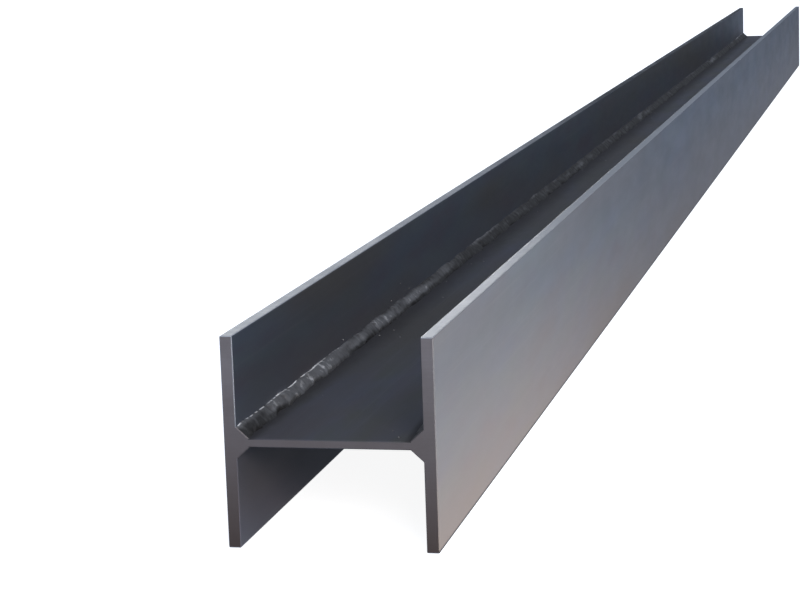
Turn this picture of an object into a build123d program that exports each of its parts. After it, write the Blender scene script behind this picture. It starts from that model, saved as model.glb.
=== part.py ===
"""Welded steel H-beam: two flange plates and a web plate joined by four fillet welds.

The beam lies as it is stored, with its web level and its flanges upright, on the lower
edges of the flanges. X runs across the section, Y along the beam and Z up. The origin is
on the floor under the middle of the beam. All sizes are in millimetres.
"""

import os

from build123d import *

# Section of the beam
section_depth = 200.0  # across the outer faces of the two flanges
flange_width = 200.0  # height of the upright flange plates
flange_thickness = 12.0
web_thickness = 8.0
beam_length = 6000.0

# Fillet welds. The leg on the level web is the longer one, because the bead sags.
weld_leg_on_flange = 11.0
weld_leg_on_web = 12.0
weld_crown = 1.0  # rise of the bead's face above the straight line between its toes

# Edges
flange_edge_radius = 1.2  # long edges of the flange plates, eased
end_chamfer = 0.8  # sharp edge ground off all round each sawn end

# Places that follow from the sizes above
flange_inner_x = section_depth / 2 - flange_thickness
flange_centre_x = section_depth / 2 - flange_thickness / 2
web_centre_z = flange_width / 2
web_depth = 2 * flange_inner_x

# Drawing plane of the section: its first axis is X and its second is Z
section_plane = Plane.XZ

sides = {"left": -1, "right": 1}
levels = {"lower": -1, "upper": 1}


def flange_profile(side):
    """Section of one flange plate, on the left (-1) or the right (1)."""
    plate = RectangleRounded(flange_thickness, flange_width, flange_edge_radius)
    return Pos(side * flange_centre_x, web_centre_z) * plate


def web_profile():
    """Section of the web plate, which butts against both flanges."""
    return Pos(0, web_centre_z) * Rectangle(web_depth, web_thickness)


def weld_profile(side, level):
    """Section of one fillet weld: two straight legs and a crowned face."""
    root = Vector(side * flange_inner_x, web_centre_z + level * web_thickness / 2)
    toe_on_flange = root + Vector(0, level * weld_leg_on_flange)
    toe_on_web = root - Vector(side * weld_leg_on_web, 0)
    outward = Vector(-side * weld_leg_on_flange, level * weld_leg_on_web).normalized()
    crest = (toe_on_flange + toe_on_web) / 2 + outward * weld_crown
    face = ThreePointArc(toe_on_flange, crest, toe_on_web)
    legs = Polyline(toe_on_web, root, toe_on_flange)
    return make_face([face, *legs.edges()])


def full_length(profile):
    """The profile swept along the whole beam, half of it each way from the middle."""
    return extrude(section_plane * profile, amount=beam_length / 2, both=True)


def dressed_envelope(profiles):
    """The whole beam as one block, with the sharp edge taken off round both ends."""
    block = full_length(Sketch() + profiles)
    ends = block.faces().filter_by(Axis.Y).sort_by(Axis.Y)
    return chamfer(ends[0].edges() + ends[-1].edges(), end_chamfer)


profiles = {"web_plate": web_profile()}
for side_name, side in sides.items():
    profiles[f"flange_plate_{side_name}"] = flange_profile(side)
    for level_name, level in levels.items():
        profiles[f"fillet_weld_{level_name}_{side_name}"] = weld_profile(side, level)

# The ends are sawn and ground after welding, so every piece is trimmed by the same block
envelope = dressed_envelope(list(profiles.values()))

os.makedirs("parts", exist_ok=True)
for name, profile in profiles.items():
    piece = full_length(profile) & envelope
    export_step(piece, f"parts/{name}.step")
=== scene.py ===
"""Looks of a welded steel H-beam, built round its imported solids.

The three plates keep their solids and are dressed as hot-rolled, cut and sawn steel. The four
fillet welds get hand-laid beads, with lumps, ripples and spatter, in place of their plain solids.
Lengths are in metres, or in millimetres where a name ends in _mm.
"""

import logging
import math
from dataclasses import dataclass, field
from enum import Enum
from itertools import product
from typing import ClassVar

import bmesh
import bpy
import numpy as np
from bpy.types import Material, NodeSocket, NodeTree, Object
from mathutils import Matrix, Vector

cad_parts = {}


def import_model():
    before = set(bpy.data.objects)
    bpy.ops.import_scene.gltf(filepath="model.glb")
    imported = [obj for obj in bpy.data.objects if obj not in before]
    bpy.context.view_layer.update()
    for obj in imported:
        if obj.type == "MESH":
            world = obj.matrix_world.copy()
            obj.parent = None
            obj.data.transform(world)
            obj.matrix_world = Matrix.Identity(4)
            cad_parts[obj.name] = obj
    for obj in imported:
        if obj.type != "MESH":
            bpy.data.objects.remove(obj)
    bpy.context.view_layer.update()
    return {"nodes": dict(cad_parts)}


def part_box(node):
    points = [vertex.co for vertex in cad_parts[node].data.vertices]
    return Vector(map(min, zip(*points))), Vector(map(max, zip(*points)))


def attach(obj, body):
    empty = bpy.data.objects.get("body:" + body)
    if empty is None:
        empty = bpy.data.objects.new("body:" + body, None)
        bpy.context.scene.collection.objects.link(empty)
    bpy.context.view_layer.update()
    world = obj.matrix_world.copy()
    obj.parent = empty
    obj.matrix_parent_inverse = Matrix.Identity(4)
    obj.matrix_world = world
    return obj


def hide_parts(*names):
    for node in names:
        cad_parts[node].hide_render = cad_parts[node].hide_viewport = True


log = logging.getLogger("h_beam")

Pair = tuple[float, float]
Triple = tuple[float, float, float]

MM = 0.001
BODY = "root"
FIRST_SEED = 7
WHITE = "#ffffff"

# Most values of a random pattern lie between these two
PATTERN_LOW = 0.3
PATTERN_HIGH = 0.7

# Numbers of a Mix node's sockets, because its sockets for numbers and for colours share their names
NUMBER_A = 2
NUMBER_B = 3
COLOUR_A = 6
COLOUR_B = 7
COLOUR_OUT = 2


def linear(hex_colour: str) -> tuple[float, float, float, float]:
    """Turn an sRGB hex colour into linear red, green, blue and alpha.

    Args:
        hex_colour: Six hex digits after a hash, such as "#5f646c".

    Returns:
        The linear colour, with an alpha of 1.
    """
    channels = [int(hex_colour[i:i + 2], 16) / 255 for i in (1, 3, 5)]
    red, green, blue = [c / 12.92 if c <= 0.04045 else ((c + 0.055) / 1.055) ** 2.4 for c in channels]
    return red, green, blue, 1.0


def add(tree: NodeTree, kind: str, inputs: dict[str | int, object], output: str | int = 0,
        **settings: object) -> NodeSocket | None:
    """Add a node, set it up and link it.

    Args:
        tree: The node tree that the node goes into.
        kind: Blender's name for the kind of node.
        inputs: Input name or number to the value it holds, or the socket it is linked from.
        output: Name or number of the output that is wanted.
        settings: Other properties of the node.

    Returns:
        The wanted output socket, or None for a node that has none.
    """
    node = tree.nodes.new(kind)
    for name, value in settings.items():
        setattr(node, name, value)
    for key, value in inputs.items():
        if isinstance(value, NodeSocket):
            tree.links.new(value, node.inputs[key])
        else:
            node.inputs[key].default_value = value
    return node.outputs[output] if node.outputs else None


def pattern(tree: NodeTree, place: NodeSocket, size_mm: Triple, detail: float = 3.0,
            output: str | int = 0) -> NodeSocket:
    """Make a random pattern with features of a given real size.

    Args:
        tree: The material's node tree.
        place: Position on the object, in metres.
        size_mm: Size of a feature along X, Y and Z.
        detail: How many finer layers the pattern has.
        output: 0 for a value, or 1 for three values that vary on their own.

    Returns:
        The pattern, from 0 to 1.
    """
    scale = tuple(1.0 / (size * MM) for size in size_mm)
    drawn = add(tree, "ShaderNodeVectorMath", {0: place, 1: scale}, operation="MULTIPLY")
    return add(tree, "ShaderNodeTexNoise", {"Vector": drawn, "Scale": 1.0, "Detail": detail}, output)


class Side(Enum):
    """Flange that a weld lies against, with the sign of its X."""

    LEFT = -1
    RIGHT = 1


class Level(Enum):
    """Face of the web that a weld lies on, with the sign of its Z."""

    LOWER = -1
    UPPER = 1


@dataclass(frozen=True)
class Section:
    """Sizes of the beam that the finishes need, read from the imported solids."""

    half_length: float
    weld_toe_x: float

    @classmethod
    def from_frame(cls) -> "Section":
        """Read the sizes from the boxes of a flange and a weld.

        Returns:
            The sizes in metres, measured from the middle of the beam.
        """
        flange_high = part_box("flange_plate_right")[1]
        weld_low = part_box("fillet_weld_upper_right")[0]
        return cls(flange_high[1], weld_low[0])


@dataclass(frozen=True)
class Surface:
    """One finish inside a material, as sockets or as numbers. Its height is in millimetres."""

    colour: NodeSocket
    roughness: NodeSocket
    metallic: NodeSocket | float
    height: NodeSocket


@dataclass(frozen=True)
class MillScale:
    """Hot-rolled plate with its mill scale on: a satin oxide skin, softly clouded blue, violet and brown.

    The specks where scale is worn off are really finer. They are drawn coarser, so that they show.
    """

    blue: str = "#464e59"
    violet: str = "#484853"
    teal: str = "#495259"
    brown: str = "#4a4a4a"
    worn: str = "#5b5d61"
    cloud_mm: Triple = (120.0, 700.0, 120.0)
    patch_mm: Triple = (34.0, 170.0, 34.0)
    speck_mm: Triple = (2.4, 2.4, 2.4)
    streak_mm: Triple = (4.0, 600.0, 4.0)
    tone_range: Pair = (0.42, 0.66)
    streak_from: float = 0.58
    streak_most: float = 0.25
    speck_from: float = 0.68
    speck_most: float = 0.35
    wear_rise: float = 0.14
    smoothest: float = 0.46
    roughest: float = 0.53
    metallic: float = 0.45
    swell_high_mm: float = 0.10
    speck_high_mm: float = 0.03

    def shade(self, tree: NodeTree, place: NodeSocket) -> Surface:
        """Build the oxide skin: clouds drawn out along the beam, faint rolling streaks and worn specks.

        Args:
            tree: The material's node tree.
            place: Position on the object, in metres.

        Returns:
            The finish's sockets.
        """
        cloud = pattern(tree, place, self.cloud_mm, output=1)
        patch = pattern(tree, place, self.patch_mm, output=1)
        speck = pattern(tree, place, self.speck_mm, detail=2.0)
        streak = pattern(tree, place, self.streak_mm, detail=2.0)

        colour = linear(self.blue)
        start, full = self.tone_range
        for tone, source, channel in ((self.violet, patch, "Red"), (self.teal, patch, "Green"),
                                      (self.brown, cloud, "Blue")):
            share = add(tree, "ShaderNodeSeparateColor", {0: source}, channel)
            share = add(tree, "ShaderNodeMapRange", {"Value": share, "From Min": start, "From Max": full})
            colour = add(tree, "ShaderNodeMix", {0: share, COLOUR_A: colour, COLOUR_B: linear(tone)},
                         COLOUR_OUT, data_type="RGBA")
        for source, start, most in ((streak, self.streak_from, self.streak_most),
                                    (speck, self.speck_from, self.speck_most)):
            share = add(tree, "ShaderNodeMapRange", {
                "Value": source, "From Min": start, "From Max": start + self.wear_rise, "To Max": most})
            colour = add(tree, "ShaderNodeMix", {0: share, COLOUR_A: colour, COLOUR_B: linear(self.worn)},
                         COLOUR_OUT, data_type="RGBA")

        satin = add(tree, "ShaderNodeSeparateColor", {0: patch}, "Blue")
        roughness = add(tree, "ShaderNodeMapRange", {
            "Value": satin, "From Min": PATTERN_LOW, "From Max": PATTERN_HIGH,
            "To Min": self.smoothest, "To Max": self.roughest})
        swell = add(tree, "ShaderNodeMath", {0: satin, 1: self.swell_high_mm}, operation="MULTIPLY")
        height = add(tree, "ShaderNodeMath", {0: speck, 1: self.speck_high_mm, 2: swell},
                     operation="MULTIPLY_ADD")
        return Surface(colour, roughness, self.metallic, height)


@dataclass(frozen=True)
class WeldSootAndShade:
    """Welding smoke and painted shade on the web: a matt dark haze beside the weld toes, narrow near the
    open ends.
    """

    toe_x: float
    half_length: float
    colour: str = "#232224"
    strongest: float = 0.80
    reach_at_ends_mm: float = 10.0
    reach_mm: float = 38.0
    widening_mm: float = 600.0
    waver_mm: float = 12.0
    waver_size_mm: Triple = (16.0, 45.0, 16.0)
    roughness: float = 0.7

    def lay(self, tree: NodeTree, place: NodeSocket, skin: Surface) -> Surface:
        """Lay the haze over a finish.

        Args:
            tree: The material's node tree.
            place: Position on the object, in metres.
            skin: The finish under the haze.

        Returns:
            The sockets of the two together.
        """
        waver = pattern(tree, place, self.waver_size_mm)
        across = add(tree, "ShaderNodeSeparateXYZ", {0: place}, "X")
        across = add(tree, "ShaderNodeMath", {0: across}, operation="ABSOLUTE")
        across = add(tree, "ShaderNodeMath", {0: waver, 1: self.waver_mm * MM, 2: across},
                     operation="MULTIPLY_ADD")
        # The pattern is a half on average, so it moves everything outwards by half the waver
        toe = self.toe_x + 0.5 * self.waver_mm * MM
        along = add(tree, "ShaderNodeSeparateXYZ", {0: place}, "Y")
        along = add(tree, "ShaderNodeMath", {0: along}, operation="ABSOLUTE")
        clear = add(tree, "ShaderNodeMapRange", {
            "Value": along, "From Min": self.half_length,
            "From Max": self.half_length - self.widening_mm * MM,
            "To Min": toe - self.reach_at_ends_mm * MM, "To Max": toe - self.reach_mm * MM})
        # Smoke and painted shade: darker beside the weld toe, in the corner that the bead shades
        mask = add(tree, "ShaderNodeMapRange", {
            "Value": across, "From Min": clear, "From Max": toe, "To Max": self.strongest},
            interpolation_type="SMOOTHSTEP")
        colour = add(tree, "ShaderNodeMix", {0: mask, COLOUR_A: skin.colour, COLOUR_B: linear(self.colour)},
                     COLOUR_OUT, data_type="RGBA")
        roughness = add(tree, "ShaderNodeMix", {0: mask, NUMBER_A: skin.roughness, NUMBER_B: self.roughness})
        return Surface(colour, roughness, skin.metallic, skin.height)


@dataclass(frozen=True)
class FloorDustAndLight:
    """Dry yard dust and painted light on a flange: a thin matt film, thicker towards the floor, that also
    paints the floor's reflected light, and a line along the foot.

    The line is a painted contact shadow where it is dark, and a painted highlight where it is pale.
    """

    colour: str = "#94867a"
    strongest: float = 0.34
    reach: float = 0.16
    roughness: float = 0.6
    foot: str = "#262423"
    foot_mm: Pair = (3.6, 2.0)

    def lay(self, tree: NodeTree, place: NodeSocket, skin: Surface) -> Surface:
        """Lay the film over a finish.

        Args:
            tree: The material's node tree.
            place: Position on the object, in metres.
            skin: The finish under the film.

        Returns:
            The sockets of the two together.
        """
        up = add(tree, "ShaderNodeSeparateXYZ", {0: place}, "Z")
        # Dust and painted reflected light: the film is strongest at the floor
        mask = add(tree, "ShaderNodeMapRange", {
            "Value": up, "From Min": self.reach, "From Max": 0.0, "To Max": self.strongest})
        colour = add(tree, "ShaderNodeMix", {0: mask, COLOUR_A: skin.colour, COLOUR_B: linear(self.colour)},
                     COLOUR_OUT, data_type="RGBA")
        roughness = add(tree, "ShaderNodeMix", {0: mask, NUMBER_A: skin.roughness, NUMBER_B: self.roughness})
        # The foot line: a painted contact shadow where dark, a painted highlight where pale
        top, full = (reach * MM for reach in self.foot_mm)
        line = add(tree, "ShaderNodeMapRange", {"Value": up, "From Min": top, "From Max": full})
        colour = add(tree, "ShaderNodeMix", {0: line, COLOUR_A: colour, COLOUR_B: linear(self.foot)},
                     COLOUR_OUT, data_type="RGBA")
        return Surface(colour, roughness, skin.metallic, skin.height)


@dataclass(frozen=True)
class CutEdge:
    """Machine-cut plate edge: bare steel with drag lines, bright near one end and duller further on, as a
    painted highlight.

    The drag lines are really finer. They are drawn coarser, so that they show.
    """

    highlight_to: float
    highlight_from: float = -3.0
    bright: str = "#bfc3c8"
    dull: str = "#80868d"
    line_mm: Triple = (40.0, 2.0, 40.0)
    cloud_mm: Triple = (60.0, 90.0, 60.0)
    dulling: Pair = (-0.25, 0.55)
    mottling: float = 0.4
    smoothest: float = 0.36
    roughest: float = 0.60
    metallic: float = 0.9
    line_high_mm: float = 0.06

    def shade(self, tree: NodeTree, place: NodeSocket) -> Surface:
        """Build the bare edge, with its cutting lines and its painted highlight, which dulls away from one
        end.

        Args:
            tree: The material's node tree.
            place: Position on the object, in metres.

        Returns:
            The finish's sockets.
        """
        lines = pattern(tree, place, self.line_mm, detail=2.0)
        cloud = pattern(tree, place, self.cloud_mm, detail=4.0)
        along = add(tree, "ShaderNodeSeparateXYZ", {0: place}, "Y")
        # Painted highlight: the edge is lighter near one end and darker further along
        least, most = self.dulling
        dulled = add(tree, "ShaderNodeMapRange", {
            "Value": along, "From Min": self.highlight_from, "From Max": self.highlight_to,
            "To Min": least, "To Max": most})
        dulled = add(tree, "ShaderNodeMath", {0: lines, 1: self.mottling, 2: dulled},
                     operation="MULTIPLY_ADD")
        dulled = add(tree, "ShaderNodeMath", {0: cloud, 1: self.mottling, 2: dulled},
                     operation="MULTIPLY_ADD", use_clamp=True)
        colour = add(tree, "ShaderNodeMix", {
            0: dulled, COLOUR_A: linear(self.bright), COLOUR_B: linear(self.dull)},
            COLOUR_OUT, data_type="RGBA")
        roughness = add(tree, "ShaderNodeMapRange", {
            "Value": dulled, "To Min": self.smoothest, "To Max": self.roughest})
        height = add(tree, "ShaderNodeMath", {0: lines, 1: self.line_high_mm}, operation="MULTIPLY")
        return Surface(colour, roughness, self.metallic, height)


@dataclass(frozen=True)
class SawnEnd:
    """Sawn beam end: dull grey steel with faint saw lines, browner and darker towards the floor, by a rusty
    film and by painted shade.

    The saw lines are really finer. They are drawn coarser, so that they show.
    """

    steel: str = "#737175"
    stained: str = "#676568"
    rust_and_shade: str = "#4a4240"
    line_mm: Triple = (90.0, 90.0, 1.8)
    blotch_mm: Triple = (26.0, 26.0, 26.0)
    line_share: float = 0.3
    stain_range: Pair = (0.45, 0.85)
    rust_and_shade_top: float = 0.19
    rust_and_shade_full: float = 0.03
    rust_and_shade_waver: float = 0.04
    smoothest: float = 0.5
    roughest: float = 0.62
    metallic: float = 0.6
    line_high_mm: float = 0.02

    def shade(self, tree: NodeTree, place: NodeSocket) -> Surface:
        """Build the sawn face, with its lines, stains and the brown film low down, partly rusty and partly
        painted shade.

        Args:
            tree: The material's node tree.
            place: Position on the object, in metres.

        Returns:
            The finish's sockets.
        """
        lines = pattern(tree, place, self.line_mm, detail=2.0)
        blotch = pattern(tree, place, self.blotch_mm, detail=4.0)
        mixed = add(tree, "ShaderNodeMath", {0: lines, 1: self.line_share, 2: blotch},
                    operation="MULTIPLY_ADD")
        start, full = self.stain_range
        stain = add(tree, "ShaderNodeMapRange", {"Value": mixed, "From Min": start, "From Max": full})
        colour = add(tree, "ShaderNodeMix", {
            0: stain, COLOUR_A: linear(self.steel), COLOUR_B: linear(self.stained)},
            COLOUR_OUT, data_type="RGBA")
        # Rusty film and painted shade: browner and darker towards the floor
        up = add(tree, "ShaderNodeSeparateXYZ", {0: place}, "Z")
        up = add(tree, "ShaderNodeMath", {0: blotch, 1: self.rust_and_shade_waver, 2: up}, operation="MULTIPLY_ADD")
        brown = add(tree, "ShaderNodeMapRange", {
            "Value": up, "From Min": self.rust_and_shade_top, "From Max": self.rust_and_shade_full})
        colour = add(tree, "ShaderNodeMix", {0: brown, COLOUR_A: colour, COLOUR_B: linear(self.rust_and_shade)},
                     COLOUR_OUT, data_type="RGBA")
        roughness = add(tree, "ShaderNodeMapRange", {
            "Value": blotch, "From Min": PATTERN_LOW, "From Max": PATTERN_HIGH,
            "To Min": self.smoothest, "To Max": self.roughest})
        height = add(tree, "ShaderNodeMath", {0: lines, 1: self.line_high_mm}, operation="MULTIPLY")
        return Surface(colour, roughness, self.metallic, height)


@dataclass(frozen=True)
class WeldMetal:
    """Hand-laid weld metal: dark grey under its slag skin, with painted shade in the hollows, sooty and
    shaded at the web toe, near white where it is bare and where highlights are painted.

    The grit of the skin is really finer. It is drawn coarser, so that it shows.
    """

    soot_and_shade: str = "#252423"
    skin: str = "#5f5f60"
    bared_and_highlight: str = "#f0f0ee"
    mottle_mm: Triple = (8.0, 8.0, 8.0)
    grit_mm: Triple = (1.6, 1.6, 1.6)
    mottling: float = 0.16
    sooty_shaded_below: float = 0.5
    bared_highlight_above: float = 0.6
    smoothest: float = 0.40
    roughest: float = 0.58
    metallic: float = 0.55
    grit_high_mm: float = 0.08

    def shade(self, tree: NodeTree, place: NodeSocket) -> Surface:
        """Build the bead's skin from the tone and painted light that its points hold, and a fine grit.

        Args:
            tree: The material's node tree.
            place: Position on the object, in metres.

        Returns:
            The finish's sockets.
        """
        clean_and_lit = add(tree, "ShaderNodeAttribute", {}, "Fac", attribute_name=WeldBead.CLEAN_AND_LIT)
        mottle = pattern(tree, place, self.mottle_mm, detail=4.0)
        grit = pattern(tree, place, self.grit_mm, detail=2.0)
        mottle = add(tree, "ShaderNodeMapRange", {
            "Value": mottle, "From Min": PATTERN_LOW, "From Max": PATTERN_HIGH,
            "To Min": -self.mottling, "To Max": self.mottling})
        clean_and_lit = add(tree, "ShaderNodeMath", {0: clean_and_lit, 1: mottle}, operation="ADD")
        # Dark is smoke and painted shade, light is bare steel and painted highlight
        dark = add(tree, "ShaderNodeMapRange", {
            "Value": clean_and_lit, "From Min": 0.0, "From Max": self.sooty_shaded_below})
        light = add(tree, "ShaderNodeMapRange", {
            "Value": clean_and_lit, "From Min": self.bared_highlight_above, "From Max": 1.0})
        colour = add(tree, "ShaderNodeMix", {
            0: dark, COLOUR_A: linear(self.soot_and_shade), COLOUR_B: linear(self.skin)},
            COLOUR_OUT, data_type="RGBA")
        colour = add(tree, "ShaderNodeMix", {0: light, COLOUR_A: colour, COLOUR_B: linear(self.bared_and_highlight)},
                     COLOUR_OUT, data_type="RGBA")
        roughness = add(tree, "ShaderNodeMapRange", {
            "Value": clean_and_lit, "To Min": self.roughest, "To Max": self.smoothest})
        height = add(tree, "ShaderNodeMath", {0: grit, 1: self.grit_high_mm}, operation="MULTIPLY")
        return Surface(colour, roughness, self.metallic, height)


@dataclass
class SteelMaterial:
    """A steel material made of one or more finishes, placed by which way a face points.

    Each facing range says how much of a face's normal lies along an axis where a finish starts and is full.
    """

    EDGE_FACING: ClassVar[Pair] = (0.55, 0.80)
    CHAMFER_FACING: ClassVar[Pair] = (0.45, 0.85)
    END_FACING: ClassVar[Pair] = (0.74, 0.88)
    WORN_HEIGHT: ClassVar[Pair] = (0.09, 0.13)

    name: str
    face: MillScale | WeldMetal | SawnEnd
    film: WeldSootAndShade | FloorDustAndLight | None = None
    edge: CutEdge | None = None
    end: SawnEnd | None = None
    worn_highlit_chamfers: bool = False

    def blend(self, tree: NodeTree, under: Surface, over: Surface, mask: NodeSocket) -> Surface:
        """Lay one finish over another.

        Args:
            tree: The material's node tree.
            under: The finish that shows where the mask is 0.
            over: The finish that shows where the mask is 1.
            mask: Where the upper finish lies.

        Returns:
            The sockets of the two together.
        """
        colour = add(tree, "ShaderNodeMix", {0: mask, COLOUR_A: under.colour, COLOUR_B: over.colour},
                     COLOUR_OUT, data_type="RGBA")
        numbers = [add(tree, "ShaderNodeMix", {0: mask, NUMBER_A: low, NUMBER_B: high}) for low, high in (
            (under.roughness, over.roughness), (under.metallic, over.metallic), (under.height, over.height))]
        return Surface(colour, *numbers)

    def facing(self, tree: NodeTree, axis: str, shares: Pair) -> NodeSocket:
        """Make a mask of the faces that point along an axis, either way.

        Args:
            tree: The material's node tree.
            axis: "X", "Y" or "Z".
            shares: Sizes of the normal's share along the axis where the mask starts and is full.

        Returns:
            The mask, from 0 to 1.
        """
        normal = add(tree, "ShaderNodeNewGeometry", {}, "True Normal")
        share = add(tree, "ShaderNodeSeparateXYZ", {0: normal}, axis)
        share = add(tree, "ShaderNodeMath", {0: share}, operation="ABSOLUTE")
        start, full = shares
        return add(tree, "ShaderNodeMapRange", {"Value": share, "From Min": start, "From Max": full})

    def make(self) -> Material:
        """Build the material.

        Returns:
            The finished material.
        """
        material = bpy.data.materials.new(self.name)
        material.use_nodes = True
        tree = material.node_tree
        tree.nodes.clear()
        place = add(tree, "ShaderNodeTexCoord", {}, "Object")
        skin = self.face.shade(tree, place)
        if self.film:
            skin = self.film.lay(tree, place, skin)
        if self.edge:
            bare = self.edge.shade(tree, place)
            skin = self.blend(tree, skin, bare, self.facing(tree, "Z", self.EDGE_FACING))
            if self.worn_highlit_chamfers:
                # Only the chamfers above the web are worn bare, partly a painted highlight: they get the
                # bright edge finish and catch the light
                up = add(tree, "ShaderNodeSeparateXYZ", {0: place}, "Z")
                start, full = self.WORN_HEIGHT
                worn = add(tree, "ShaderNodeMapRange", {
                    "Value": up, "From Min": start, "From Max": full,
                    "To Max": self.facing(tree, "Y", self.CHAMFER_FACING)})
                skin = self.blend(tree, skin, bare, worn)
        if self.end:
            sawn = self.end.shade(tree, place)
            skin = self.blend(tree, skin, sawn, self.facing(tree, "Y", self.END_FACING))
        relief = add(tree, "ShaderNodeBump", {"Height": skin.height, "Distance": MM, "Strength": 1.0})
        shader = add(tree, "ShaderNodeBsdfPrincipled", {
            "Base Color": skin.colour, "Roughness": skin.roughness,
            "Metallic": skin.metallic, "Normal": relief})
        add(tree, "ShaderNodeOutputMaterial", {"Surface": shader})
        return material


@dataclass
class WeldBead:
    """One fillet weld laid by hand: a bulging, lumpy bead with ragged toes, and spatter beside it."""

    CLEAN_AND_LIT: ClassVar[str] = "clean_and_lit"
    SPATTER_SEED_STEP: ClassVar[int] = 100

    side: Side
    level: Level
    seed: int

    # The mesh and its ends
    row_mm: float = 1.4
    columns: int = 15
    sharp_deg: float = 50.0
    sunk_mm: float = 0.5
    end_fade_mm: float = 14.0
    end_chamfer_mm: float = 0.8

    # The bead's outline. ragged_mm gives the distance between random values and how far they reach
    crown_mm: float = 0.7
    squareness: float = 4.0
    flange_toe_wander_mm: float = 1.5
    web_toe_wander_mm: float = 2.4
    web_toe_drawn_in: float = 0.6
    toe_knot_mm: float = 24.0
    ragged_mm: Pair = (9.0, 1.3)

    # The relief of its face, calmer further along. swell_mm and grit_mm hold what ragged_mm does
    bow_mm: float = 6.0
    lump_pitch_mm: Pair = (30.0, 100.0)
    lump_height_mm: Pair = (0.6, 3.2)
    lump_fall_mm: float = 5.0
    ripple_pitch_mm: Pair = (6.0, 11.0)
    ripple_height_mm: Pair = (0.01, 0.05)
    ripple_fall_mm: float = 2.6
    swell_mm: Pair = (34.0, 0.8)
    swell_knots: int = 2
    grit_mm: Pair = (8.0, 0.22)
    grit_knots: int = 4
    evened: float = 0.72
    evened_mm: Pair = (350.0, 1100.0)

    # Tone and painted light of its skin: smoke and painted shade at the web toe and in the hollows, sooty
    # ends, darker further along, and a painted highlight on the bare flange toe
    tone: float = 0.36
    relief_painted_light: float = 0.30
    tone_of_patches: float = 0.36
    tone_patches_mm: Pair = (240.0, 55.0)
    patch_knots: int = 2
    sooty_shaded_toe: float = 0.50
    toe_soot_and_shade: float = 0.40
    sooty_end_mm: float = 280.0
    end_soot: float = 0.24
    darker_along: float = 0.44
    darker_along_mm: Pair = (250.0, 1300.0)
    lightest_skin: float = 0.58
    brushed_toe_highlight: float = 0.12
    brushed_highlight_mm: Pair = (3.0, 420.0)
    highlight_dash_mm: float = 6.0
    highlight_mean: float = 0.8
    highlight_spread: float = 1.7

    # The spatter on the plates, whose farthest drops are so many times the usual reach away
    spatter_count: int = 70
    spatter_radius_mm: Pair = (0.4, 1.2)
    spatter_flatness: Pair = (0.45, 0.8)
    spatter_reach_mm: float = 14.0
    spatter_farthest: float = 4.0
    spatter_on_web: float = 0.6
    spatter_tone: float = 0.6

    piece: Object | None = field(default=None, init=False)

    @property
    def name(self) -> str:
        """Name of the piece."""
        return f"weld_bead_{self.level.name.lower()}_{self.side.name.lower()}"

    @property
    def node(self) -> str:
        """Name of the solid that the bead stands for."""
        return f"fillet_weld_{self.level.name.lower()}_{self.side.name.lower()}"

    def ease(self, share: np.ndarray) -> np.ndarray:
        """Clip a share to 0 to 1 and smooth both ends of its rise."""
        share = np.clip(share, 0.0, 1.0)
        return share * share * (3.0 - 2.0 * share)

    def further(self, distance: np.ndarray, reach_mm: Pair) -> np.ndarray:
        """Rise smoothly from 0 to 1 between two distances."""
        start, stop = (reach * MM for reach in reach_mm)
        return self.ease((distance - start) / (stop - start))

    def cloud(self, rng: np.random.Generator, along: np.ndarray, across: np.ndarray, knot_mm: float,
              knots_across: int) -> np.ndarray:
        """Draw a smooth random surface over the bead.

        Args:
            rng: Source of the random draws.
            along: Places along the bead, in metres.
            across: Places across it, from 0 to 1.
            knot_mm: Distance along the bead between the random values that the surface passes through.
            knots_across: Number of such distances across the bead.

        Returns:
            Values from -1 to 1, of shape (along, across).
        """
        row = (along - along.min()) / (knot_mm * MM)
        column = across * knots_across
        knots = rng.uniform(-1.0, 1.0, (int(row.max()) + 2, knots_across + 2))
        low_row, low_column = row.astype(int), column.astype(int)
        row_share = self.ease(row - low_row)[:, None]
        column_share = self.ease(column - low_column)[None, :]
        blended = knots[low_row] * (1.0 - row_share) + knots[low_row + 1] * row_share
        return blended[:, low_column] * (1.0 - column_share) + blended[:, low_column + 1] * column_share

    def wander(self, rng: np.random.Generator, along: np.ndarray, knot_mm: float) -> np.ndarray:
        """Draw a smooth random line along the bead, from -1 to 1."""
        return self.cloud(rng, along, np.array([0.5]), knot_mm, 1)[:, 0]

    def scales(self, rng: np.random.Generator, along: np.ndarray, pitch_mm: Pair, height_mm: Pair,
               fall_mm: float) -> np.ndarray:
        """Lay overlapping scales along the bead, each rising gently and dropping steeply at its near end.

        Args:
            rng: Source of the random draws.
            along: Places where the height is wanted, one for each point of the bead.
            pitch_mm: Shortest and longest scale.
            height_mm: Lowest and highest scale.
            fall_mm: Length of the steep drop.

        Returns:
            The height at each place, in metres.
        """
        back = along.max() - along
        count = int(back.max() / (pitch_mm[0] * MM)) + 2
        starts = np.concatenate([[0.0], np.cumsum(rng.uniform(*pitch_mm, count) * MM)])
        heights = rng.uniform(*height_mm, count) * MM
        which = np.searchsorted(starts, back, side="right") - 1
        length = starts[which + 1] - starts[which]
        share = (back - starts[which]) / length
        left = (starts[which + 1] - back) / (fall_mm * MM)
        return heights[which] * (1.0 - (1.0 - share) ** 2) * self.ease(left)

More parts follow.
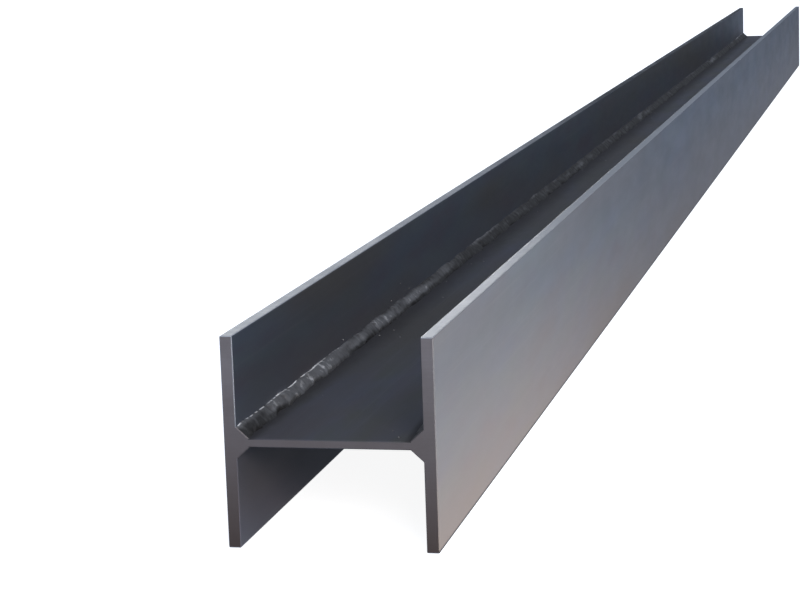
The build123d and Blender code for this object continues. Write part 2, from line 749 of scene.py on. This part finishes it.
    def relief(self, rng: np.random.Generator, along: np.ndarray, across: np.ndarray,
               even: np.ndarray) -> np.ndarray:
        """Work out the lumps, ripples, swells and grit of the bead's face.

        Args:
            rng: Source of the random draws.
            along: Places along the bead, in metres.
            across: Places across it, from 0 to 1.
            even: How calm the bead is at each place along it, from 0 to 1.

        Returns:
            Heights in metres, of shape (along, across), with a mean of 0.
        """
        curved = along[:, None] + self.bow_mm * MM * (2.0 * across - 1.0)[None, :] ** 2
        relief = self.scales(rng, curved, self.lump_pitch_mm, self.lump_height_mm, self.lump_fall_mm)
        relief += self.scales(rng, curved, self.ripple_pitch_mm, self.ripple_height_mm, self.ripple_fall_mm)
        for (knot_mm, height_mm), knots_across in ((self.swell_mm, self.swell_knots),
                                                   (self.grit_mm, self.grit_knots)):
            relief += height_mm * MM * self.cloud(rng, along, across, knot_mm, knots_across)
        relief *= 1.0 - self.evened * even[:, None]
        return relief - relief.mean()

    def cleanness_and_light(self, rng: np.random.Generator, along: np.ndarray, across: np.ndarray,
                  from_end: np.ndarray, relief: np.ndarray) -> np.ndarray:
        """Work out how bare or sooty the bead's skin is, with its painted shade and painted highlights.

        Args:
            rng: Source of the random draws.
            along: Places along the bead, in metres.
            across: Places across it, from 0 at the flange to 1 at the web.
            from_end: Distance of each place along the bead from the nearer end.
            relief: Height of the face at each point, because high points are painted lighter and hollows
                painted darker, as shade.

        Returns:
            Values from 0, sooty or painted shade, to 1, bare or painted highlight, of shape (along, across).
        """
        # Painted light: the high points of the relief are lighter and the hollows darker
        clean_and_lit = self.tone + self.relief_painted_light * relief / (self.lump_height_mm[1] * MM)
        for patch_mm in self.tone_patches_mm:
            clean_and_lit += self.tone_of_patches * self.cloud(rng, along, across, patch_mm, self.patch_knots)
        # Smoke and painted shade along the web toe
        clean_and_lit -= self.toe_soot_and_shade * self.ease((across - 1.0 + self.sooty_shaded_toe) / self.sooty_shaded_toe)[None, :]
        clean_and_lit -= self.end_soot * self.ease(1.0 - from_end / (self.sooty_end_mm * MM))[:, None]
        # Darker further along the bead
        clean_and_lit -= self.darker_along * self.further(along - along[0], self.darker_along_mm)[:, None]
        clean_and_lit = np.clip(clean_and_lit, 0.0, self.lightest_skin)
        # The painted highlight on the bare flange toe starts a little in from the end and fades over the
        # second half of its reach
        start, stop = (reach * MM for reach in self.brushed_highlight_mm)
        brushed_highlight = self.ease((from_end - start) / start) * self.ease(2.0 * (1.0 - from_end / stop))
        dashes = self.wander(rng, along, self.highlight_dash_mm)
        brushed_highlight *= self.ease(self.highlight_mean + self.highlight_spread * dashes)
        clean_and_lit += brushed_highlight[:, None] * self.ease(1.0 - across / self.brushed_toe_highlight)[None, :]
        return np.clip(clean_and_lit, 0.0, 1.0)

    def rings(self) -> tuple[np.ndarray, np.ndarray]:
        """Work out the bead's rings of points, one for each step along the beam.

        Returns:
            Points of shape (rows, ring, 3) in metres, and the tone and painted light of each one: 0 sooty or
            painted shade, 1 bare or painted highlight.
        """
        rng = np.random.default_rng(self.seed)
        low, high = (np.array(corner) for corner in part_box(self.node))
        leg_web, leg_flange = high[0] - low[0], high[2] - low[2]
        root_x = low[0] if self.side is Side.LEFT else high[0]
        root_z = low[2] if self.level is Level.UPPER else high[2]
        rows = int((high[1] - low[1]) / (self.row_mm * MM))
        chamfer = self.end_chamfer_mm * MM
        inner = np.linspace(low[1] + chamfer, high[1] - chamfer, rows)
        along = np.concatenate([[low[1]], inner, [high[1]]])
        # The columns lie closer together towards the two toes
        across = 0.5 - 0.5 * np.cos(np.linspace(0.0, math.pi, self.columns))
        from_end = np.minimum(along - low[1], high[1] - along) - chamfer
        fade = self.ease(from_end / (self.end_fade_mm * MM))
        even = self.further(along - low[1], self.evened_mm)

        drift = self.wander(rng, along, self.toe_knot_mm) * fade
        up_flange = leg_flange + self.flange_toe_wander_mm * MM * drift
        drift = (self.wander(rng, along, self.toe_knot_mm) - self.web_toe_drawn_in) * fade
        along_web = leg_web + self.web_toe_wander_mm * MM * drift
        relief = self.relief(rng, along, across, even)
        clean_and_lit = self.cleanness_and_light(rng, along, across, from_end, relief)
        knot_mm, reach_mm = self.ragged_mm
        along_web += reach_mm * MM * self.wander(rng, along, knot_mm) * fade * (1.0 - even)

        arch = 1.0 - np.abs(2.0 * across - 1.0) ** self.squareness
        rise = fade[:, None] * (self.crown_mm * MM + relief) * arch[None, :]
        rise[[0, -1]] -= chamfer
        outward = np.array([leg_flange, leg_web]) / math.hypot(leg_flange, leg_web)
        from_flange = np.maximum(along_web[:, None] * across[None, :] + rise * outward[0], 0.0)
        from_web = np.maximum(up_flange[:, None] * (1.0 - across[None, :]) + rise * outward[1], 0.0)

        # The back of the bead lies a little inside the plates, and flush with them at the two ends
        sunk = np.full((len(along), 1), -self.sunk_mm * MM)
        sunk[[0, -1]] = 0.0
        from_flange = np.hstack([sunk, sunk, from_flange, along_web[:, None]])
        from_web = np.hstack([sunk, up_flange[:, None], from_web, sunk])
        clean_and_lit = np.hstack([clean_and_lit[:, :1], clean_and_lit[:, :1], clean_and_lit, clean_and_lit[:, -1:]])
        points = np.empty(from_flange.shape + (3,))
        points[..., 0] = root_x - self.side.value * from_flange
        points[..., 1] = along[:, None]
        points[..., 2] = root_z + self.level.value * from_web
        return points, clean_and_lit

    def spatter(self) -> tuple[np.ndarray, np.ndarray]:
        """Scatter flattened droplets on the plates beside the bead.

        Returns:
            Points and triangles of all the droplets.
        """
        rng = np.random.default_rng(self.seed + self.SPATTER_SEED_STEP)
        low, high = (np.array(corner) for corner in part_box(self.node))
        inward = -self.side.value
        upward = self.level.value
        root = np.array([low[0] if inward > 0 else high[0], 0.0, low[2] if upward > 0 else high[2]])
        ball = bmesh.new()
        bmesh.ops.create_icosphere(ball, subdivisions=2, radius=1.0)
        shape = np.array([v.co for v in ball.verts])
        faces = np.array([[v.index for v in f.verts] for f in ball.faces])
        ball.free()
        points, triangles = [], []
        for number in range(self.spatter_count):
            radius = rng.uniform(*self.spatter_radius_mm) * MM
            flat = rng.uniform(*self.spatter_flatness)
            away = rng.exponential(self.spatter_reach_mm) * MM
            away = min(away, self.spatter_farthest * self.spatter_reach_mm * MM)
            y = rng.uniform(low[1] + 2 * radius, high[1] - 2 * radius)
            if rng.random() < self.spatter_on_web:
                centre = root + np.array([inward * (high[0] - low[0] + away), y, 0.0])
                stretch = np.array([1.0, 1.0, flat])
            else:
                centre = root + np.array([0.0, y, upward * (high[2] - low[2] + away)])
                stretch = np.array([flat, 1.0, 1.0])
            points.append(centre + shape * stretch * radius)
            triangles.append(faces + number * len(shape))
        return np.concatenate(points), np.concatenate(triangles)

    def build(self) -> Object:
        """Make the bead's mesh: its rings, its two sawn ends and its spatter.

        Returns:
            The bead's object.
        """
        points, clean_and_lit = self.rings()
        rows, ring, _ = points.shape
        number = np.arange(rows * ring).reshape(rows, ring)
        near, far = number[:-1], number[1:]
        quads = np.stack([near, np.roll(near, -1, 1), np.roll(far, -1, 1), far], axis=-1).reshape(-1, 4)
        caps = [number[0][::-1].tolist(), number[-1].tolist()]
        # A bead that mirrors the upper left one just once has its faces turned round
        if self.side.value * self.level.value > 0:
            quads = quads[:, ::-1]
            caps = [cap[::-1] for cap in caps]
        drops, drop_faces = self.spatter()
        faces = quads.tolist() + caps + (drop_faces + rows * ring).tolist()
        mesh = bpy.data.meshes.new(self.name)
        mesh.from_pydata(np.vstack([points.reshape(-1, 3), drops]).tolist(), [], faces)
        store = mesh.attributes.new(self.CLEAN_AND_LIT, "FLOAT", "POINT")
        drops_clean_and_lit = np.full(len(drops), self.spatter_tone)
        store.data.foreach_set("value", np.concatenate([clean_and_lit.ravel(), drops_clean_and_lit]))
        # The chamfered first and last rings and the caps are sawn, and the rest is weld metal
        slots = np.zeros(len(faces), dtype=np.int32)
        slots[:ring] = slots[len(quads) - ring:len(quads) + len(caps)] = 1
        mesh.polygons.foreach_set("material_index", slots)
        mesh.set_sharp_from_angle(angle=math.radians(self.sharp_deg))
        mesh.polygons.foreach_set("use_smooth", slots == 0)
        mesh.validate()
        self.piece = bpy.data.objects.new(self.name, mesh)
        bpy.context.scene.collection.objects.link(self.piece)
        return self.piece

    def dress(self, metal: Material, sawn: Material) -> None:
        """Give the bead its finishes and tie it to the frame.

        Args:
            metal: Finish of the bead and its spatter.
            sawn: Finish of its two ends.
        """
        self.piece.data.materials.append(metal)
        self.piece.data.materials.append(sawn)
        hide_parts(self.node)
        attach(self.piece, BODY)
        log.info("%s: %d faces", self.name, len(self.piece.data.polygons))


@dataclass
class Plates:
    """The two flange plates and the web plate, whose solids stay as they are."""

    nodes: dict[str, Object]

    def dress(self, left: Material, right: Material, web: Material) -> None:
        """Put the finishes on the plates.

        Args:
            left: Finish of the left flange plate.
            right: Finish of the right flange plate.
            web: Finish of the web plate.
        """
        finishes = {"flange_plate_left": left, "flange_plate_right": right, "web_plate": web}
        for name, material in finishes.items():
            slots = self.nodes[name].data.materials
            slots.clear()
            slots.append(material)
            log.info("%s: %s", name, material.name)


@dataclass(frozen=True)
class SkyGlow:
    """A broad soft light from one side of the studio: the larger the focus, the narrower it is."""

    towards: Triple
    strength: float
    focus: float


@dataclass(frozen=True)
class SoftLamp:
    """A soft box on a stand, which lights the beam and stays out of the camera's sight."""

    name: str
    place: Triple
    target: Triple
    size: Pair
    watts: float
    colour: str = WHITE

    def stand(self) -> None:
        """Put the lamp in its place, turned to its target."""
        lamp = bpy.data.lights.new(self.name, "AREA")
        lamp.shape = "RECTANGLE"
        lamp.size, lamp.size_y = self.size
        lamp.energy = self.watts
        lamp.color = linear(self.colour)[:3]
        stand = bpy.data.objects.new(self.name, lamp)
        stand.location = self.place
        aim = Vector(self.target) - Vector(self.place)
        stand.rotation_euler = aim.to_track_quat("-Z", "Y").to_euler()
        stand.visible_camera = False
        bpy.context.scene.collection.objects.link(stand)


@dataclass
class Studio:
    """White studio: a pale floor, a soft sky that is brighter on some sides, and soft lamps."""

    floor_size: float = 160.0
    floor_paint: str = "#b4bac4"
    floor_glow: float = 0.92
    # The steel mirrors a share of the glow, which falls off between two places along the beam
    floor_mirrored: float = 0.26
    floor_mirrored_far: float = 0.05
    floor_lit_to: float = 2.6
    floor_dark_from: float = 4.6

    sky_tint: str = "#d9e2f3"
    sky_level: float = 0.10
    glows: tuple[SkyGlow, ...] = (
        SkyGlow((0.0, 0.0, 1.0), 0.6, 2.0),
        SkyGlow((1.0, 0.0, 0.8), 1.1, 1.5),
        SkyGlow((0.0, -1.0, 0.2), 0.3, 1.5),
        SkyGlow((-1.0, -0.2, 0.0), 0.7, 3.0),
    )
    lamps: tuple[SoftLamp, ...] = (
        SoftLamp("side_lamp", (1.30, -2.72, 0.10), (0.10, -2.80, 0.08), (0.6, 0.18), 28.0, "#fff0e0"),
        SoftLamp("front_lamp", (1.70, -5.90, 1.50), (0.0, -3.0, 0.10), (1.4, 1.0), 90.0, "#fff1e4"),
        SoftLamp("back_lamp", (-5.55, 14.90, 1.55), (0.0, -2.8, 0.20), (5.1, 0.75), 292.0),
    )

    def build(self) -> None:
        """Make the floor, the sky and the lamps."""
        self.lay_floor()
        self.light_sky()
        for lamp in self.lamps:
            lamp.stand()

    def lay_floor(self) -> None:
        """Lay the floor: it shows white to the camera and keeps the beam's soft shadow."""
        half = self.floor_size / 2
        mesh = bpy.data.meshes.new("studio_floor")
        corners = [(-half, -half, 0.0), (half, -half, 0.0), (half, half, 0.0), (-half, half, 0.0)]
        mesh.from_pydata(corners, [], [(0, 1, 2, 3)])
        floor = bpy.data.objects.new("studio_floor", mesh)
        bpy.context.scene.collection.objects.link(floor)
        material = bpy.data.materials.new("white_studio_floor")
        material.use_nodes = True
        tree = material.node_tree
        tree.nodes.clear()
        # The camera sees the floor glow white, and the steel mirrors a part of that, less beyond its far end
        seen = add(tree, "ShaderNodeLightPath", {}, "Is Camera Ray")
        mirrored = add(tree, "ShaderNodeLightPath", {}, "Is Glossy Ray")
        place = add(tree, "ShaderNodeTexCoord", {}, "Object")
        along = add(tree, "ShaderNodeSeparateXYZ", {0: place}, "Y")
        lit = add(tree, "ShaderNodeMapRange", {
            "Value": along, "From Min": self.floor_lit_to, "From Max": self.floor_dark_from,
            "To Min": self.floor_mirrored, "To Max": self.floor_mirrored_far})
        mirrored = add(tree, "ShaderNodeMath", {0: mirrored, 1: lit}, operation="MULTIPLY")
        glow = add(tree, "ShaderNodeMath", {0: seen, 1: self.floor_glow, 2: mirrored},
                   operation="MULTIPLY_ADD")
        tint = add(tree, "ShaderNodeMix", {
            0: seen, COLOUR_A: linear(self.sky_tint), COLOUR_B: linear(WHITE)}, COLOUR_OUT, data_type="RGBA")
        glow = add(tree, "ShaderNodeEmission", {"Color": tint, "Strength": glow})
        paint = add(tree, "ShaderNodeBsdfDiffuse", {"Color": linear(self.floor_paint)})
        surface = add(tree, "ShaderNodeAddShader", {0: paint, 1: glow})
        add(tree, "ShaderNodeOutputMaterial", {"Surface": surface})
        mesh.materials.append(material)

    def light_sky(self) -> None:
        """Surround the scene with soft light: an even level, and a glow on each of the brighter sides."""
        world = bpy.data.worlds.new("white_studio")
        world.use_nodes = True
        tree = world.node_tree
        tree.nodes.clear()
        way = add(tree, "ShaderNodeTexCoord", {}, "Generated")
        strength = self.sky_level
        for glow in self.glows:
            towards = Vector(glow.towards).normalized()
            share = add(tree, "ShaderNodeVectorMath", {0: way, 1: towards}, "Value", operation="DOT_PRODUCT")
            share = add(tree, "ShaderNodeMath", {0: share, 1: 0.0}, operation="MAXIMUM")
            share = add(tree, "ShaderNodeMath", {0: share, 1: glow.focus}, operation="POWER")
            strength = add(tree, "ShaderNodeMath", {0: share, 1: glow.strength, 2: strength},
                           operation="MULTIPLY_ADD")
        sky = add(tree, "ShaderNodeBackground", {"Color": linear(self.sky_tint), "Strength": strength})
        add(tree, "ShaderNodeOutputWorld", {"Surface": sky})
        bpy.context.scene.world = world


@dataclass
class PhotoCamera:
    """Camera at the photograph's viewpoint: off the near end, to its right, looking down along the beam."""

    place: Triple = (0.5316, -4.9792, 0.5811)
    azimuth_deg: float = 13.10
    elevation_deg: float = 9.69
    roll_deg: float = 1.99
    lens_mm: float = 103.7
    sensor_mm: float = 36.0
    farthest: float = 1000.0

    def build(self) -> None:
        """Make the camera and use it for the scene."""
        angles = (self.azimuth_deg, self.elevation_deg, self.roll_deg)
        azimuth, elevation, roll = (math.radians(angle) for angle in angles)
        level = math.cos(elevation)
        ahead = Vector((-math.sin(azimuth) * level, math.cos(azimuth) * level, -math.sin(elevation)))
        right = ahead.cross(Vector((0.0, 0.0, 1.0))).normalized()
        down = ahead.cross(right)
        turned_right = math.cos(roll) * right + math.sin(roll) * down
        turned_up = math.sin(roll) * right - math.cos(roll) * down
        data = bpy.data.cameras.new("photo_camera")
        data.lens = self.lens_mm
        data.sensor_width = self.sensor_mm
        data.clip_end = self.farthest
        camera = bpy.data.objects.new("photo_camera", data)
        turn = Matrix((turned_right, turned_up, -ahead)).transposed().to_4x4()
        camera.matrix_world = Matrix.Translation(Vector(self.place)) @ turn
        bpy.context.scene.collection.objects.link(camera)
        bpy.context.scene.camera = camera


def main() -> None:
    """Read the beam's sizes, dress the beam, and set up the studio and the camera."""
    logging.basicConfig(level=logging.INFO, format="%(message)s")
    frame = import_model()
    bpy.context.scene.view_settings.view_transform = "Standard"
    section = Section.from_frame()

    PhotoCamera().build()
    Studio().build()

    sawn = SawnEnd()
    # The left flange's pale foot line is a painted highlight
    left_dust_and_light = FloorDustAndLight(colour="#867d88", foot="#a0a2a8", foot_mm=(1.8, 1.0))
    left_edge = CutEdge(highlight_to=-0.5, dull="#3c4146", roughest=0.95)
    left = SteelMaterial("hot_rolled_flange_left", MillScale(), left_dust_and_light, left_edge, sawn,
                         worn_highlit_chamfers=True).make()
    calm_scale = MillScale(violet="#484b54", teal="#485056", brown="#494b4f")
    right_edge = CutEdge(highlight_to=1.8)
    # The right flange's dark foot line is a painted contact shadow
    right = SteelMaterial("hot_rolled_flange_right", calm_scale, FloorDustAndLight(), right_edge, sawn).make()
    web_scale = MillScale(blue="#464954", violet="#48474f", teal="#444747", brown="#43413f")
    soot_and_shade = WeldSootAndShade(section.weld_toe_x, section.half_length)
    web = SteelMaterial("hot_rolled_web_plate", web_scale, soot_and_shade, end=sawn).make()
    metal = SteelMaterial("hand_laid_weld_metal", WeldMetal()).make()
    sawn_weld = SteelMaterial("sawn_weld_end", sawn).make()
    Plates(frame["nodes"]).dress(left, right, web)
    for number, (side, level) in enumerate(product(Side, Level)):
        bead = WeldBead(side, level, FIRST_SEED + number)
        bead.build()
        bead.dress(metal, sawn_weld)


if __name__ == "__main__":
    main()
